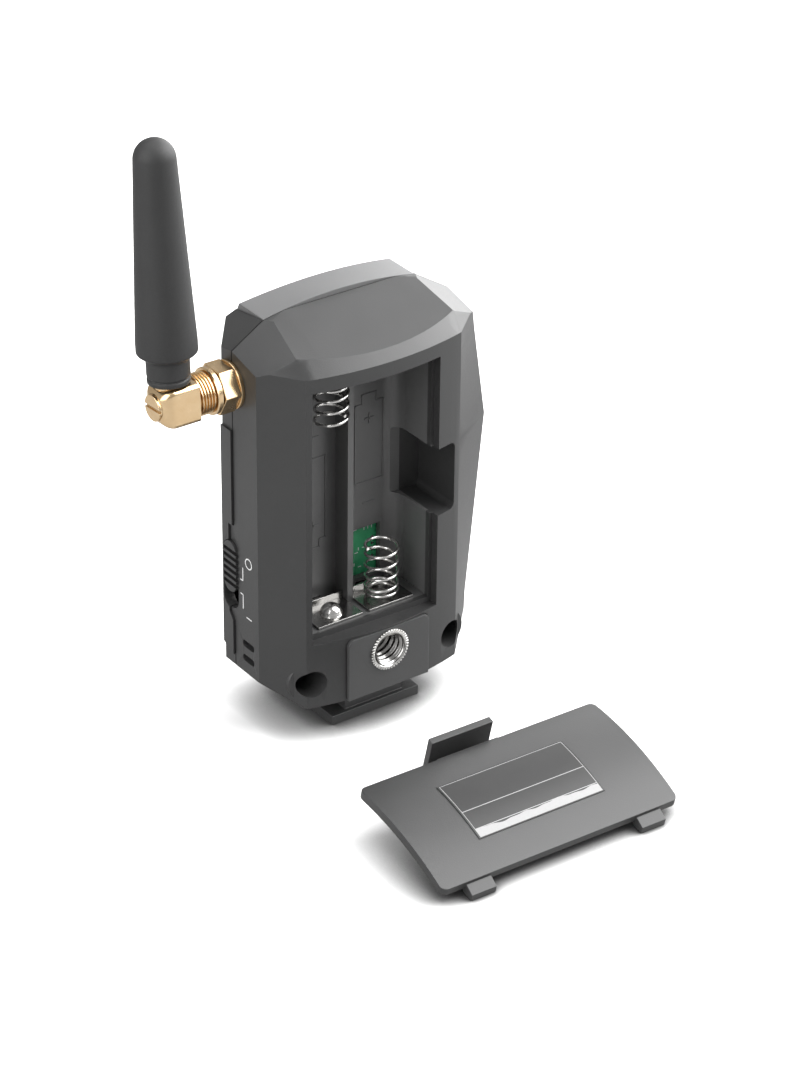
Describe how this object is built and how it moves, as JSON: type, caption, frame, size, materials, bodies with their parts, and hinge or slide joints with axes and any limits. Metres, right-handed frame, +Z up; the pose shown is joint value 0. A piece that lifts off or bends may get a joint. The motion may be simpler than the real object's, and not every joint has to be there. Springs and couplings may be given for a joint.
{
  "type": "radio flash trigger",
  "caption": "Radio flash trigger on a camera shoe foot, with a stub antenna on a right-angle connector, a tripod thread, and its battery door off.",
  "frame": {"origin": "middle of the underside of the shoe foot", "axes": "+Z up through the casing, +Y towards the front with the test button, the battery bay and tripod thread face -Y, the antenna is on the -X side"},
  "size_m": [0.065, 0.0801, 0.1134],
  "materials": {
    "case_plastic": "fine spark-eroded satin texture",
    "panel_plastic": "smooth satin",
    "dark_plastic": "ribbed, matt",
    "label_film": "bare dark film",
    "nickel": "bright nickel plate",
    "dark_steel": "black zinc",
    "gold": "bright gold plate",
    "copper": "drawn copper",
    "antenna_rubber": "moulded matt rubber",
    "cover_rubber": "moulded matt rubber",
    "lead_jacket": "coax jacket",
    "board_green": "solder mask",
    "chip_black": "moulded epoxy",
    "clear_light": "clear moulded",
    "capacitor_sleeve": "shrunk sleeve",
    "button_plastic": "satin",
    "switch_red": "moulded",
    "slider_white": "moulded"
  },
  "bodies": {
    "casing": {"antenna_jack": "gold", "antenna_lead": "lead_jacket", "antenna_nut": "gold", "antenna_washer": "gold", "case_screws": "dark_steel", "channel_switch_case": "switch_red", "contact_pin_spring": "nickel", "controller_chip": "chip_black", "coupling_collar": "gold", "crystal": "nickel", "flash_triac": "chip_black", "front_panel": "panel_plastic", "front_shell": "case_plastic", "high_battery_spring": "nickel", "light_pipe": "clear_light", "low_battery_spring": "nickel", "main_board": "board_green", "minus_contact_plate": "nickel", "plus_contact_dimple": "nickel", "plus_contact_plate": "nickel", "power_switch_case": "nickel", "radio_can": "nickel", "rear_shell": "case_plastic", "remote_jack": "chip_black", "shoe_foot": "case_plastic", "status_led": "clear_light", "sync_jack": "chip_black", "test_switch": "chip_black", "top_contact_link": "nickel", "trigger_capacitor": "capacitor_sleeve", "tripod_block": "case_plastic", "tripod_insert": "nickel", "voltage_regulator": "chip_black"},
    "antenna": {"antenna_elbow": "gold", "elbow_cap": "gold", "whip_stub": "gold", "antenna_sheath": "antenna_rubber", "antenna_coil": "copper"},
    "power_slide": {"power_slide_thumb": "dark_plastic"},
    "button": {"test_button": "button_plastic"},
    "slider_1": {"channel_slider_1": "slider_white"},
    "slider_2": {"channel_slider_2": "slider_white"},
    "slider_3": {"channel_slider_3": "slider_white"},
    "slider_4": {"channel_slider_4": "slider_white"},
    "cover": {"port_cover": "cover_rubber"},
    "contact_pin": {"shoe_contact_pin": "gold"},
    "door": {"battery_door": "case_plastic", "door_label": "label_film"}
  },
  "joints": [
    {"name": "antenna_swivel", "type": "hinge", "parent": "casing", "child": "antenna", "pos_m": [-0.0303, 0.0026, 0.0669], "axis": [1, 0, 0], "continuous": true},
    {"name": "power_switch_slide", "type": "slide", "parent": "casing", "child": "power_slide", "axis": [0, 0, -1], "range_m": [0, 0.0032]},
    {"name": "test_button_press", "type": "slide", "parent": "casing", "child": "button", "axis": [0, -1, 0], "range_m": [0, 0.0005], "stiffness_N_per_m": 400, "springref_m": -0.001},
    {"name": "channel_slide_1", "type": "slide", "parent": "casing", "child": "slider_1", "axis": [0, 0, 1], "range_m": [0, 0.0016]},
    {"name": "channel_slide_2", "type": "slide", "parent": "casing", "child": "slider_2", "axis": [0, 0, 1], "range_m": [0, 0.0016]},
    {"name": "channel_slide_3", "type": "slide", "parent": "casing", "child": "slider_3", "axis": [0, 0, 1], "range_m": [0, 0.0016]},
    {"name": "channel_slide_4", "type": "slide", "parent": "casing", "child": "slider_4", "axis": [0, 0, 1], "range_m": [0, 0.0016]},
    {"name": "port_cover_hinge", "type": "hinge", "parent": "casing", "child": "cover", "pos_m": [0.0241, 0.0087, 0.0335], "axis": [0, 0, 1], "range_deg": [0, 90]},
    {"name": "contact_pin_press", "type": "slide", "parent": "casing", "child": "contact_pin", "axis": [0, 0, 1], "range_m": [0, 0.0005], "stiffness_N_per_m": 200, "springref_m": -0.0005, "deforming": ["contact_pin_spring"]},
    {"name": "battery_door_lift", "type": "slide", "parent": "casing", "child": "door", "axis": [0, 0, 1], "range_m": [0, 0.06]}
  ]
}
